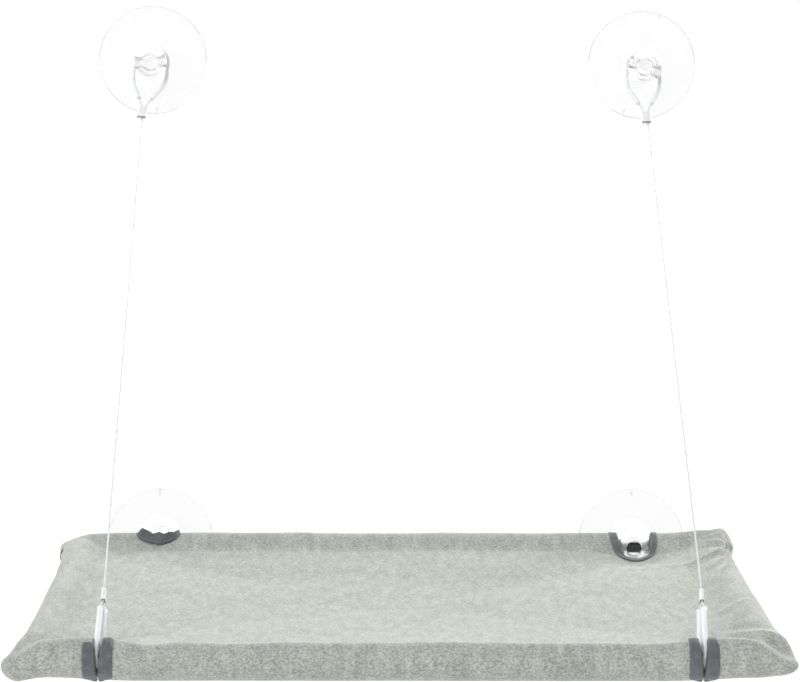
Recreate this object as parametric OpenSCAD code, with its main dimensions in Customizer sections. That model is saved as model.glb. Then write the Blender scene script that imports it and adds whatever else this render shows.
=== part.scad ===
// Window mounted cat perch: a padded bed on a folding steel tube frame, hinged in two
// suction cups at the back and hung by two wire cables from two more cups above it.
// The window plane is y = 0, the bed reaches towards -Y, and z = 0 is the hinge axis.

/* [Suction cups] */
// Diameter of the cup's lip on the glass
cup_d = 80; // [60:1:100]
// Thickness of the cup's rim
cup_rim_t = 1.1; // [0.8:0.1:2]
// Height of the hollow under the cup
cup_hollow_h = 1.2; // [0.6:0.1:2]
// Diameter of the hub that rises from the skirt
hub_d = 25; // [20:0.5:27]
// Diameter of the neck between hub and head
neck_d = 18; // [14:0.5:20]
// Diameter of the mushroom head
head_d = 24.4; // [22:0.2:28]
// Height of the hub above the glass
hub_h = 12.4; // [10:0.2:14]
// Width of the neck groove that holds the loop
groove_w = 4.6; // [4:0.2:8]
// Length of the mushroom head along the cup's axis
head_len = 15.4; // [13:0.2:20]
// Diameter of the cross bore through the head
bore_d = 8.2; // [6.2:0.1:10.2]
// Radius of the round pocket in the head's face
pocket_r = 6.6; // [5:0.1:8]
// Width of a release rib on the rim
rib_w = 1.7; // [1:0.1:3]

/* [Cup places] */
// Distance from a side tube's centre to the lower cup next to it
side_to_cup = 61.5; // [50:0.5:140]
// Distance between the two upper cups
upper_span = 362.4; // [250:1:420]
// Height of the upper left cup above the lower cups
upper_rise = 363; // [300:1:450]
// How much lower the upper right cup is pressed on
right_drop = 2.6; // [0:0.1:10]
// Turn of the upper left cup on the glass
left_turn = 4; // [-90:1:90]
// Turn of the upper right cup on the glass
right_turn = -20; // [-90:1:90]

/* [Frame] */
// Distance between the side tubes, centre to centre
frame_w = 480; // [400:1:600]
// Distance between the rear and the front tube, centre to centre
frame_depth = 335; // [260:1:420]
// Outer diameter of the frame tube
tube_d = 8; // [6:0.1:10]
// Wall of the frame tube
tube_wall = 1; // [0.6:0.1:1.5]
// Bend radius of the tube's corners
bend_r = 20; // [14:1:30]
// Length of a spigot that joins the two frame halves
spigot_len = 60; // [30:1:90]

/* [Cover and pad] */
// Reach of the cover beyond the side tube's centre
side_reach = 14.5; // [13:0.1:18]
// Radius of the padded roll round the edge
roll_r = 12; // [11:0.1:16]
// How far each side is drawn in at its middle
side_pull = 6; // [0:0.1:9]
// Corner radius of the cover
cover_corner_r = 16; // [12:1:26]
// Width of the slope from the roll down to the seat
fall_w = 30; // [20:1:50]
// Height of the seat's edge above the frame plane
seat_z = 2.5; // [0:0.1:5]
// Sag of the seat in the middle
seat_sag = 6; // [0:0.1:12]
// Depth of the underside below the frame plane
under_z = 9.5; // [8:0.1:12]
// Thickness of the cover's cloth
cloth_t = 1.8; // [1:0.1:3]

/* [Cut-outs and slits] */
// Clear width of a rear cut-out
cutout_w = 26; // [25.6:0.1:40]
// Reach of the right cut-out in front of the hinge axis
right_reach = 32; // [18:0.5:50]
// Reach of the left cut-out in front of the hinge axis
left_reach = 17.5; // [16.5:0.5:50]
// Width of the binding on the cloth
binding_w = 5.2; // [3:0.1:8]
// Thickness of the binding
binding_t = 1.1; // [0.6:0.1:2]
// Distance from a side tube's centre to the middle of the slit next to it
side_to_slit = 45.8; // [36:0.1:140]
// Clear width of a front slit
slit_w = 8; // [7.8:0.1:9]
// Width of the two bindings beside a slit together
slit_band_w = 19.4; // [12:0.1:26]

/* [Cables] */
// Diameter of the coated wire
wire_d = 1.2; // [0.8:0.1:1.3]
// Outer diameter of the upper clear sleeve
upper_sleeve_d = 3.2; // [2.4:0.1:3.6]
// Outer diameter of the lower clear sleeve
lower_sleeve_d = 3.8; // [2.4:0.1:4]
// Radius of the upper loop's round end
upper_loop_r = 12.4; // [11:0.1:14]
// Distance from the upper loop's centre to its ferrule
upper_loop_len = 40; // [34:0.5:60]
// Distance from the front tube's centre to the lower ferrule
lower_loop_len = 42.8; // [30:0.2:50]
// Outward lean of the upper left loop, in degrees
upper_left_lean_angle = 6.8; // [0:0.1:8]
// Outward lean of the upper right loop, in degrees
upper_right_lean_angle = 0.8; // [0:0.1:8]
// Outward lean of the lower left loop, in degrees
lower_left_lean_angle = -1.1; // [-3:0.1:3]
// Outward lean of the lower right loop, in degrees
lower_right_lean_angle = 2.6; // [-3:0.1:3]
// Length of a ferrule
ferrule_len = 8.6; // [7:0.1:14]
// Width of a ferrule's oval
ferrule_w = 7; // [5:0.1:9]
// Thickness of a ferrule's oval
ferrule_t = 3.2; // [3:0.1:5]

/* [Hidden] */

// Clearances, each on the radius or the side, and the overrun of a cut
spigot_gap = 0.05;
soft_gap = 0.3;
loop_gap = 0.1;
end_gap = 0.08;
wire_gap = 0.15;
strand_gap = 0.6;
overrun = 1;

// Cup profile, measured out from the glass
cup_r = cup_d / 2;
hub_r = hub_d / 2;
neck_r = neck_d / 2;
head_r = head_d / 2;
lip_w = 7;
skirt_mid_t = 1.6;
skirt_root_h = 5;
skirt_root_w = 4.5;
head_edge_r = 3;
skirt_fall_share = 0.7;
head_back_r = 0.8;
groove_round = 0.6;
head_back = hub_h + groove_w;
head_face = head_back + head_len;
bore_h = 25;
rib_len = 5.4;
rib_rise = 1.1;

// Frame
hinge_y = -bore_h;
front_y = hinge_y - frame_depth;
mid_y = (hinge_y + front_y) / 2;
tube_r = tube_d / 2;
tube_in_r = tube_r - tube_wall;
side_x = frame_w / 2;

// Cover outline and its section, walked anticlockwise from the right side
bed_front = front_y - roll_r;
bed_back = hinge_y + roll_r;
bed_half_w = side_x + side_reach;
bed_half_d = (bed_back - bed_front) / 2;
corner_steps = 5;
corner_min_r = 6;
long_steps = 7;
short_steps = 8;
pull_end_share = 0.92;
pull_run_share = 0.32;
corner_lobe_share = 0.08;
side_slim_share = 0.14;
fine_angles = [0, 30, 60, 90];
plain_angles = [0, 45, 90];
fine_fall_shares = [0.35, 0.7, 1];
plain_fall_shares = [0.5, 1];
fine_seat_shares = [0.5];
plain_seat_shares = [0.5];

// Rear cut-outs and front slits
cutout_x = frame_w / 2 - side_to_cup;
cutout_half = cutout_w / 2;
lining_t = 0.8;
left_round = 4;
right_end_len = 23;
slit_x = frame_w / 2 - side_to_slit;
slit_half = slit_w / 2;
strand_step_share = 0.7;
strand_step = strand_step_share * lower_sleeve_d;
loop_wrap_r = tube_r + loop_gap + lower_sleeve_d / 2;
pocket_reach = loop_wrap_r + lower_sleeve_d / 2 + strand_gap;
slit_reach = 2.2 * roll_r;
slit_from = -104;
slit_to = 138;
band_from = -5;
band_to = 158;
sector_steps = 12;

// Cables: the upper loop hangs in the neck groove, bends under the head and runs
// straight to the front tube
groove_mid = hub_h + groove_w / 2;
loop_drop = neck_r + loop_gap + upper_sleeve_d / 2 - upper_loop_r;
bend_drop = 5.5;
bend_in_r = 10;
leg_x = 0.85;
upper_bare = 7;
lower_bare = 5;
wire_tail = 1.2;
tube_sides = 8;
wire_sides = 6;
arc_steps = 14;
leg_steps = 5;
cable_steps = 10;

function upper_x(s) = s * upper_span / 2;
function upper_z(s) = s < 0 ? upper_rise : upper_rise - right_drop;

// Circle of the bend, in the side view: [y, z]
function bend_centre(s) = [-groove_mid - bend_in_r, upper_z(s) + loop_drop - bend_drop];
function bend_to_front(s) = [front_y, 0] - bend_centre(s);
function cable_slope(s) = -acos(bend_in_r / norm(bend_to_front(s)))
    - atan2(bend_to_front(s)[1], bend_to_front(s)[0]);
function bend_len(s) = bend_in_r * cable_slope(s) * PI / 180;
function bend_end(s) = bend_centre(s) + bend_in_r * [cos(cable_slope(s)), -sin(cable_slope(s))];

// Point of the spine at distance d below the upper loop's centre
function spine_point(s, d) =
    let (x = upper_x(s), top = upper_z(s) + loop_drop)
    d < bend_drop ? [x, -groove_mid, top - d] :
    d < bend_drop + bend_len(s) ?
        let (a = (d - bend_drop) / bend_in_r * 180 / PI, c = bend_centre(s))
        [x, c[0] + bend_in_r * cos(a), c[1] - bend_in_r * sin(a)] :
    let (k = d - bend_drop - bend_len(s), e = bend_end(s))
    [x, e[0] - k * sin(cable_slope(s)), e[1] - k * cos(cable_slope(s))];
function spine_turn(s, d) = d < bend_drop ? 0 :
    min(cable_slope(s), (d - bend_drop) / bend_in_r * 180 / PI);
function spine_normal(s, d) = [0, -cos(spine_turn(s, d)), sin(spine_turn(s, d))];

// Flat teardrop: [across, along], from one leg round the loop to the other
function touch_angle(r, len) = asin(r / norm([leg_x, len])) - atan2(leg_x, len);
function mirrored(points) = [for (p = points) [-p[0], p[1]]];
// One leg from the ferrule: the end of its bare stretch first, then on to the round end
function leg_points(r, len, bare) =
    let (b = touch_angle(r, len), from = [leg_x, len], to = r * [cos(b), sin(b)],
         sleeve_end = from + (to - from) * bare / (len - to[1]))
    concat([from], [for (i = [0:leg_steps]) sleeve_end + (to - sleeve_end) * i / leg_steps]);
function arc_points(r, len) =
    let (b = touch_angle(r, len))
    [for (i = [1:arc_steps - 1]) let (a = b - (180 + 2 * b) * i / arc_steps) r * [cos(a), sin(a)]];
function reversed(list) = [for (i = [len(list) - 1:-1:0]) list[i]];
function teardrop(r, len, bare) =
    concat(leg_points(r, len, bare), arc_points(r, len), mirrored(reversed(leg_points(r, len, bare))));
// The stretch of it that the sleeve covers, without the bare ends
function sleeved(points) = [for (i = [1:len(points) - 2]) points[i]];

function upper_flat() = teardrop(upper_loop_r, upper_loop_len, upper_bare);
// Turns a flat point about the neck's centre by the loop's lean
function upper_lean(s) = s * (s < 0 ? upper_left_lean_angle : upper_right_lean_angle);
function leaned(s, p) = let (a = upper_lean(s), down = p[1] - loop_drop)
    [p[0] * cos(a) + down * sin(a), loop_drop + down * cos(a) - p[0] * sin(a)];
function upper_place(s, p) = let (q = leaned(s, p)) spine_point(s, q[1]) + [q[0], 0, 0];
function upper_facing(s, p) = spine_normal(s, leaned(s, p)[1]);
function upper_wire_flat() = concat(
    [[leg_x, upper_loop_len + ferrule_len]], upper_flat(),
    [[-leg_x, upper_loop_len + ferrule_len + wire_tail]]);

// The lower loop: one leg in front of the tube and one behind it, set off to either side
function lower_flat() = teardrop(loop_wrap_r, lower_loop_len, lower_bare);
function lower_wire_flat() = concat(
    [[leg_x, lower_loop_len + ferrule_len]], lower_flat(),
    [[-leg_x, lower_loop_len + ferrule_len + wire_tail]]);
function strand_share(p) =
    p[1] >= lower_loop_len ? 0 :
    p[1] > lower_loop_len - lower_bare ? (lower_loop_len - p[1]) / lower_bare * sign(p[0]) :
    p[1] > 0 ? sign(p[0]) : max(-1, min(1, p[0] / loop_wrap_r));
function front_side(s) = [0, -cos(cable_slope(s)), sin(cable_slope(s))];
function lower_lean(s) = s * (s < 0 ? lower_left_lean_angle : lower_right_lean_angle);
function lower_up(s) =
    [sin(lower_lean(s)), cos(lower_lean(s)) * sin(cable_slope(s)), cos(lower_lean(s)) * cos(cable_slope(s))];
function lower_place(s, p) =
    [s * slit_x, front_y, 0] + lower_up(s) * p[1] + front_side(s) * p[0]
    + [s * strand_step / 2 * strand_share(p), 0, 0];

// Rings round a path: a facing vector keeps them from twisting
function path_tangent(points, i) =
    let (a = points[max(0, i - 1)], b = points[min(len(points) - 1, i + 1)]) (b - a) / norm(b - a);
function ring(centre, along, facing, r, sides) =
    let (n = cross(along, facing) / norm(cross(along, facing)), b = cross(along, n))
    [for (k = [0:sides - 1]) centre + r * (n * cos(360 * k / sides) + b * sin(360 * k / sides))];

module swept_tube(points, facings, r, sides) {
    n = len(points);
    verts = [for (i = [0:n - 1]) each ring(points[i], path_tangent(points, i), facings[i], r, sides)];
    walls = [for (i = [0:n - 2]) for (k = [0:sides - 1]) let (
        a = i * sides + k, b = i * sides + (k + 1) % sides)
        each [[a, b + sides, b], [a, a + sides, b + sides]]];
    ends = [[for (k = [0:sides - 1]) k], [for (k = [sides - 1:-1:0]) (n - 1) * sides + k]];
    polyhedron(verts, concat(walls, ends));
}

module swept_sleeve(points, facings, r, bore_r, sides) {
    n = len(points);
    ring_n = n * sides;
    outer = [for (i = [0:n - 1]) each ring(points[i], path_tangent(points, i), facings[i], r, sides)];
    inner = [for (i = [0:n - 1]) each
        ring(points[i], path_tangent(points, i), facings[i], bore_r, sides)];
    walls = [for (i = [0:n - 2]) for (k = [0:sides - 1]) let (
        a = i * sides + k, b = i * sides + (k + 1) % sides, c = ring_n + a, d = ring_n + b)
        each [[a, b + sides, b], [a, a + sides, b + sides],
              [c, d, d + sides], [c, d + sides, c + sides]]];
    ends = [for (k = [0:sides - 1]) let (
        a = k, b = (k + 1) % sides, e = (n - 1) * sides)
        each [[a, b + ring_n, a + ring_n], [a, b, b + ring_n],
              [a + e, b + e + ring_n, b + e], [a + e, a + e + ring_n, b + e + ring_n]]];
    polyhedron(concat(outer, inner), concat(walls, ends));
}

// Suction cup, drawn along +Z from the glass and then laid over to point at -Y
function arc2(cx, cy, r, from, to, n) =
    [for (i = [0:n]) let (a = from + (to - from) * i / n) [cx + r * cos(a), cy + r * sin(a)]];

module cup_profile() {
    polygon(concat(
        [[0, cup_hollow_h], [cup_r / 2, cup_hollow_h * skirt_fall_share], [cup_r - lip_w, 0], [cup_r, 0],
         [cup_r, cup_rim_t], [cup_r - lip_w, skirt_mid_t],
         [(cup_r + hub_r) / 2, skirt_mid_t + cup_rim_t / 2],
         [hub_r + skirt_root_w, skirt_root_h * skirt_fall_share], [hub_r, skirt_root_h],
         [hub_r, hub_h - groove_round]],
        arc2(hub_r - groove_round, hub_h - groove_round, groove_round, 30, 90, 2),
        [[neck_r, hub_h], [neck_r, head_back], [head_r - head_back_r, head_back],
         [head_r, head_back + head_back_r]],
        arc2(head_r - head_edge_r, head_face - head_edge_r, head_edge_r, 0, 90, 4),
        [[0, head_face]]
    ));
}

module suction_cup(x, z, turn) {
    translate([x, 0, z]) rotate([90, 0, 0]) rotate([0, 0, turn]) difference() {
        union() {
            rotate_extrude($fn = 72) cup_profile();
            for (side = [0, 180]) rotate([0, 0, side])
                translate([-rib_w / 2, cup_r - rib_len, cup_rim_t / 2])
                    cube([rib_w, rib_len, cup_rim_t / 2 + rib_rise]);
        }
        translate([-head_r - overrun, 0, bore_h]) rotate([0, 90, 0])
            cylinder(d = bore_d, h = head_d + 2 * overrun, $fn = 48);
        translate([0, 0, head_face]) sphere(r = pocket_r, $fn = 48);
    }
}

module upper_left_suction_cup() {
    color("#e9eff1", 0.6) suction_cup(upper_x(-1), upper_z(-1), left_turn);
}

module upper_right_suction_cup() {
    color("#e9eff1", 0.6) suction_cup(upper_x(1), upper_z(1), right_turn);
}

module lower_left_suction_cup() {
    color("#e9eff1", 0.6) suction_cup(-cutout_x, 0, 0);
}

module lower_right_suction_cup() {
    color("#e9eff1", 0.6) suction_cup(cutout_x, 0, 0);
}

// One half of the frame: a rail with two bent corners and two short arms.
// It is drawn with its rail at y = 0 and its arms reaching towards -Y.
module bow(r, arm) {
    rail = side_x - bend_r;
    translate([-rail, 0, 0]) rotate([0, 90, 0]) cylinder(r = r, h = 2 * rail, $fn = 32);
    for (side = [0, 1]) mirror([side, 0, 0]) {
        translate([rail, -bend_r, 0]) rotate_extrude(angle = 90, $fn = 48)
            translate([bend_r, 0]) circle(r = r, $fn = 32);
        translate([side_x, -bend_r, 0]) rotate([90, 0, 0])
            cylinder(r = r, h = arm - bend_r, $fn = 32);
    }
}

module hollow_bow() {
    difference() {
        bow(tube_r, frame_depth / 2);
        bow(tube_in_r, frame_depth / 2 + overrun);
    }
}

module rear_frame_tube() {
    color("#24272a") translate([0, hinge_y, 0]) hollow_bow();
}

module front_frame_tube() {
    color("#24272a") translate([0, front_y, 0]) mirror([0, 1, 0]) hollow_bow();
}

module frame_spigot(s) {
    translate([s * side_x, mid_y + spigot_len / 2, 0]) rotate([90, 0, 0])
        cylinder(r = tube_in_r - spigot_gap, h = spigot_len, $fn = 32);
}

module left_frame_spigot() {
    color("#8d9295") frame_spigot(-1);
}

module right_frame_spigot() {
    color("#8d9295") frame_spigot(1);
}

// Outline points of the cover as [x, y, outward x and y, corner shift x and y]
function outline_corner(sx, sy, from) =
    [for (i = [0:corner_steps]) let (a = from + 90 * i / corner_steps)
        [sx * (bed_half_w - cover_corner_r) + cover_corner_r * cos(a),
         mid_y + sy * (bed_half_d - cover_corner_r) + cover_corner_r * sin(a),
         cos(a), sin(a), sx, sy]];
function outline_edge(from, to, steps) =
    [for (i = [1:steps - 1]) from + (to - from) * i / steps];
function last(list) = list[len(list) - 1];
function outline() = let (
    c1 = outline_corner(1, 1, 0), c2 = outline_corner(-1, 1, 90),
    c3 = outline_corner(-1, -1, 180), c4 = outline_corner(1, -1, 270))
    concat(c1, outline_edge(last(c1), c2[0], long_steps), c2,
           outline_edge(last(c2), c3[0], short_steps), c3,
           outline_edge(last(c3), c4[0], long_steps), c4,
           outline_edge(last(c4), c1[0], short_steps));
function smooth(t) = t * t * (3 - 2 * t);
function middle_share(p) = let (out = abs(p[1] - mid_y) / bed_half_d)
    smooth(max(0, min(1, (pull_end_share - out) / pull_run_share)));
function pulled(p) = [p[0] - p[2] * abs(p[2]) * side_pull * middle_share(p), p[1]];
function local_roll(p) = roll_r * (1 + corner_lobe_share * 2 * abs(p[2] * p[3])
    - side_slim_share * pow(p[2], 4) * middle_share(p));
function inset_point(p, d) = let (shift = max(0, d - cover_corner_r + corner_min_r))
    pulled(p) - (d - shift) * [p[2], p[3]] - shift * [p[4], p[5]];
function with_z(p, z) = [p[0], p[1], z];

// Rings of the padded form from its upper centre, out over the roll and back below
function roll_ring(base, t, a) = [for (p = base) let (r = local_roll(p))
    with_z(inset_point(p, t + (r - t) * (1 - cos(a))), (r - t) * sin(a))];
function fall_ring(base, t, share) = [for (p = base) let (r = local_roll(p))
    with_z(inset_point(p, r + share * fall_w), r + (seat_z - r) * smooth(share) - t)];
function under_ring(base, t) = [for (p = base) let (r = local_roll(p))
    with_z(inset_point(p, r + fall_w), t - under_z)];
function seat_ring(base, share, edge, t) = [for (p = base) let (
    r = local_roll(p), q = inset_point(p, r + fall_w))
    [q[0] * share, mid_y + (q[1] - mid_y) * share, edge - seat_sag * (1 - share * share) + t]];
function form_rings(base, t, fine) = concat(
    [for (share = reversed(fine ? fine_seat_shares : plain_seat_shares) )
        seat_ring(base, share, seat_z, -t)],
    [for (share = reversed(fine ? fine_fall_shares : plain_fall_shares)) fall_ring(base, t, share)],
    [for (a = reversed(fine ? fine_angles : plain_angles)) roll_ring(base, t, a)],
    [for (a = fine ? fine_angles : plain_angles) if (a > 0) roll_ring(base, t, -a)],
    [under_ring(base, t)],
    [for (share = fine ? fine_seat_shares : plain_seat_shares) seat_ring(base, share, -under_z, t)]);

// The padded form, with its surface moved inwards by t
module padded_form(t, fine) {
    base = outline();
    k = len(base);
    rings = form_rings(base, t, fine);
    n = len(rings);
    verts = concat([for (r = rings) each r],
        [[0, mid_y, seat_z - seat_sag - t], [0, mid_y, t - under_z - seat_sag]]);
    walls = [for (i = [0:n - 2]) for (j = [0:k - 1]) let (
        a = i * k + j, b = i * k + (j + 1) % k)
        each [[a, b, b + k], [a, b + k, a + k]]];
    caps = [for (j = [0:k - 1]) let (b = (j + 1) % k)
        each [[n * k, b, j], [n * k + 1, (n - 1) * k + j, (n - 1) * k + b]]];
    polyhedron(verts, concat(walls, caps));
}

// Plan of a rear cut-out, open at the back: the left one is squarer, with its corners
// rounded, and the right one ends in half an oval
module cutout_prism(s, grow) {
    reach = (s < 0 ? left_reach : right_reach) + grow;
    half = cutout_half + grow;
    round_x = s < 0 ? left_round + max(0, grow) : half;
    round_y = s < 0 ? round_x : right_end_len + max(0, grow);
    top = 2 * roll_r + seat_sag;
    translate([s * cutout_x, hinge_y, -top]) linear_extrude(2 * top) union() {
        translate([-half, round_y - reach]) square([2 * half, reach - round_y + 2 * roll_r]);
        if (round_x < half)
            translate([round_x - half, -reach]) square([2 * (half - round_x), reach + 2 * roll_r]);
        for (side = round_x < half ? [-1, 1] : [1])
            translate([side * (half - round_x), round_y - reach])
                scale([round_x, round_y]) circle(r = 1, $fn = 40);
    }
}

// Sector round the front tube, with angles from straight up towards the front
module front_sector(from, to, reach, x_from, x_to) {
    translate([x_from, front_y, 0]) rotate([90, 0, 90]) linear_extrude(x_to - x_from)
        polygon(concat([[0, 0]], [for (i = [0:sector_steps]) let (a = from + (to - from) * i / sector_steps)
            reach * [-sin(a), cos(a)]]));
}

module slit_opening(s, grow) {
    turn = grow / roll_r * 180 / PI;
    mirror([s < 0 ? 1 : 0, 0, 0])
        front_sector(slit_from - turn, slit_to + turn, slit_reach,
            slit_x - slit_half - grow, slit_x + slit_half + grow);
}

// Room round the front tube for the loop itself
module loop_pocket(s) {
    mirror([s < 0 ? 1 : 0, 0, 0]) translate([slit_x - slit_half, front_y, 0]) rotate([0, 90, 0])
        cylinder(r = pocket_reach, h = slit_w, $fn = 24);
}

module rear_tunnel(gap) {
    translate([0, hinge_y, 0]) bow(tube_r + gap, frame_depth / 2 + overrun);
}

module front_tunnel(gap) {
    translate([0, front_y, 0]) mirror([0, 1, 0]) bow(tube_r + gap, frame_depth / 2 + overrun);
}

module bed_cover() {
    color("#bfc0b8") difference() {
        padded_form(0, true);
        padded_form(cloth_t, false);
        for (s = [-1, 1]) {
            cutout_prism(s, lining_t);
            slit_opening(s, lining_t);
        }
    }
}

module seat_pad() {
    color("#f2efe6") difference() {
        padded_form(cloth_t + soft_gap, false);
        rear_tunnel(soft_gap);
        front_tunnel(soft_gap);
        for (s = [-1, 1]) {
            cutout_prism(s, lining_t + soft_gap);
            slit_opening(s, lining_t);
            loop_pocket(s);
        }
    }
}

module cutout_binding(s) {
    edge_gap = soft_gap / 3;
    difference() {
        intersection() {
            padded_form(-binding_t, true);
            cutout_prism(s, lining_t + binding_w);
        }
        difference() {
            padded_form(-edge_gap, true);
            cutout_prism(s, lining_t - edge_gap);
        }
        cutout_prism(s, 0);
        rear_tunnel(soft_gap);
    }
}

module left_cutout_binding() {
    color("#565b62") cutout_binding(-1);
}

module right_cutout_binding() {
    color("#565b62") cutout_binding(1);
}

// Band round the front roll, from one angle to another, between two radii
module roll_band(r_in, r_out, half, from, to) {
    translate([slit_x, front_y, 0]) rotate([0, -90, 0]) rotate([0, 0, -to])
        rotate_extrude(angle = to - from, $fn = 96)
            translate([r_in, -half]) square([r_out - r_in, 2 * half]);
}

module slit_binding(s) {
    seat_r = roll_r + soft_gap / 3;
    side_gap = soft_gap / 3;
    lining_turn = (lining_t - side_gap) / roll_r * 180 / PI;
    difference() {
        mirror([s < 0 ? 1 : 0, 0, 0]) union() {
            roll_band(seat_r, seat_r + binding_t, slit_band_w / 2, band_from, band_to);
            roll_band(roll_r - cloth_t, seat_r, slit_half + lining_t - side_gap,
                band_from, slit_to + lining_turn);
        }
        slit_opening(s, 0);
    }
}

module left_slit_binding() {
    color("#565b62") slit_binding(-1);
}

module right_slit_binding() {
    color("#565b62") slit_binding(1);
}

// Cable between the two ferrules, off centre by one leg as it leaves them
function run_top(s) = upper_place(s, [leg_x, upper_loop_len + ferrule_len]);
function run_bottom(s) = lower_place(s, [leg_x, lower_loop_len + ferrule_len]);

module cable(s) {
    whole = run_bottom(s) - run_top(s);
    tip = end_gap * whole / norm(whole);
    ends = [run_top(s) + tip, run_bottom(s) - tip];
    points = [for (i = [0:cable_steps]) ends[0] + (ends[1] - ends[0]) * i / cable_steps];
    swept_tube(points, [for (p = points) [1, 0, 0]], wire_d / 2, wire_sides);
}

module left_cable() {
    color("#b9bcbc") cable(-1);
}

module right_cable() {
    color("#b9bcbc") cable(1);
}

module upper_wire_loop(s) {
    flat = upper_wire_flat();
    swept_tube([for (p = flat) upper_place(s, p)], [for (p = flat) upper_facing(s, p)],
        wire_d / 2, wire_sides);
}

module upper_sleeve(s) {
    flat = sleeved(upper_flat());
    swept_sleeve([for (p = flat) upper_place(s, p)], [for (p = flat) upper_facing(s, p)],
        upper_sleeve_d / 2, wire_d / 2 + wire_gap, tube_sides);
}

module lower_wire_loop(s) {
    flat = lower_wire_flat();
    swept_tube([for (p = flat) lower_place(s, p)], [for (p = flat) [1, 0, 0]],
        wire_d / 2, wire_sides);
}

module lower_sleeve(s) {
    flat = sleeved(lower_flat());
    swept_sleeve([for (p = flat) lower_place(s, p)], [for (p = flat) [1, 0, 0]],
        lower_sleeve_d / 2, wire_d / 2 + wire_gap, tube_sides);
}

// Oval crimp with two wire holes, its width along X and its length along +Z
module ferrule_body() {
    r = ferrule_t / 2;
    difference() {
        union() {
            for (side = [-1, 1]) translate([side * (ferrule_w / 2 - r), 0, 0])
                cylinder(r = r, h = ferrule_len, $fn = 32);
            translate([r - ferrule_w / 2, -r, 0]) cube([ferrule_w - ferrule_t, ferrule_t, ferrule_len]);
        }
        for (side = [-1, 1]) translate([side * leg_x, 0, -overrun])
            cylinder(r = wire_d / 2 + wire_gap, h = ferrule_len + 2 * overrun, $fn = 24);
    }
}

// Turns +Z down the cable, leaning by an angle to +X and keeping X across it
module along_cable(s, lean) {
    rotate([180 - cable_slope(s), 0, 0]) rotate([0, lean, 0]) children();
}

module upper_ferrule(s) {
    translate(upper_place(s, [0, upper_loop_len])) along_cable(s, upper_lean(s)) ferrule_body();
}

module lower_ferrule(s) {
    translate(lower_place(s, [0, lower_loop_len + ferrule_len]))
        along_cable(s, -lower_lean(s)) rotate([0, 0, 90]) ferrule_body();
}

module upper_left_wire_loop() {
    color("#b9bcbc") upper_wire_loop(-1);
}

module upper_right_wire_loop() {
    color("#b9bcbc") upper_wire_loop(1);
}

module lower_left_wire_loop() {
    color("#b9bcbc") lower_wire_loop(-1);
}

module lower_right_wire_loop() {
    color("#b9bcbc") lower_wire_loop(1);
}

module upper_left_loop_sleeve() {
    color("#dfe3e3", 0.6) upper_sleeve(-1);
}

module upper_right_loop_sleeve() {
    color("#dfe3e3", 0.6) upper_sleeve(1);
}

module lower_left_loop_sleeve() {
    color("#dfe3e3", 0.6) lower_sleeve(-1);
}

module lower_right_loop_sleeve() {
    color("#dfe3e3", 0.6) lower_sleeve(1);
}

module upper_left_ferrule() {
    color("#c9ccc8") upper_ferrule(-1);
}

module upper_right_ferrule() {
    color("#c9ccc8") upper_ferrule(1);
}

module lower_left_ferrule() {
    color("#c9ccc8") lower_ferrule(-1);
}

module lower_right_ferrule() {
    color("#c9ccc8") lower_ferrule(1);
}

upper_left_suction_cup();
upper_right_suction_cup();
lower_left_suction_cup();
lower_right_suction_cup();
rear_frame_tube();
front_frame_tube();
left_frame_spigot();
right_frame_spigot();
bed_cover();
seat_pad();
left_cutout_binding();
right_cutout_binding();
left_slit_binding();
right_slit_binding();
left_cable();
right_cable();
upper_left_wire_loop();
upper_right_wire_loop();
lower_left_wire_loop();
lower_right_wire_loop();
upper_left_loop_sleeve();
upper_right_loop_sleeve();
lower_left_loop_sleeve();
lower_right_loop_sleeve();
upper_left_ferrule();
upper_right_ferrule();
lower_left_ferrule();
lower_right_ferrule();
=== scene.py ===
import math

import bmesh
import bpy
import numpy as np
from mathutils import Matrix, Vector, noise
from mathutils.bvhtree import BVHTree


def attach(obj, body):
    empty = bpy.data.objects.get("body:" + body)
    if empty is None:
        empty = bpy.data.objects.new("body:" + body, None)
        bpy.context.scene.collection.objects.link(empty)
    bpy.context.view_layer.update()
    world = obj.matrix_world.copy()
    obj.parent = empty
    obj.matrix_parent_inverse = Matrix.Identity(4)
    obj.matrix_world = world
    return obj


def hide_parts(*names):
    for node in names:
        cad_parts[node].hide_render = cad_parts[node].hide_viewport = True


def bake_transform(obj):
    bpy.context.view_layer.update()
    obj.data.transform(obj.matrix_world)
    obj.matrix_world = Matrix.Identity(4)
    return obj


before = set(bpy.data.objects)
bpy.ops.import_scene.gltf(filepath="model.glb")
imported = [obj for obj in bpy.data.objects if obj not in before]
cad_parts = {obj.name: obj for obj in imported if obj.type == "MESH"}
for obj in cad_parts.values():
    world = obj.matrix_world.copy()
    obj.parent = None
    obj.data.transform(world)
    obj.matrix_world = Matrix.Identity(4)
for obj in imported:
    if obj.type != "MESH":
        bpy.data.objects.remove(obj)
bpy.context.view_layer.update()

MM = 0.001

# --- Camera ---------------------------------------------------------------------------------
# It stands in the room, a little above the bed and 2.3 m from the window, and looks slightly
# down, with a long lens.
camera_place = (-0.02204, -2.26254, 0.49010)
camera_pitch, camera_yaw, camera_roll = 0.1480, 0.0109, 0.0035
frame_width, focal_length = 800, 3041.6

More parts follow.
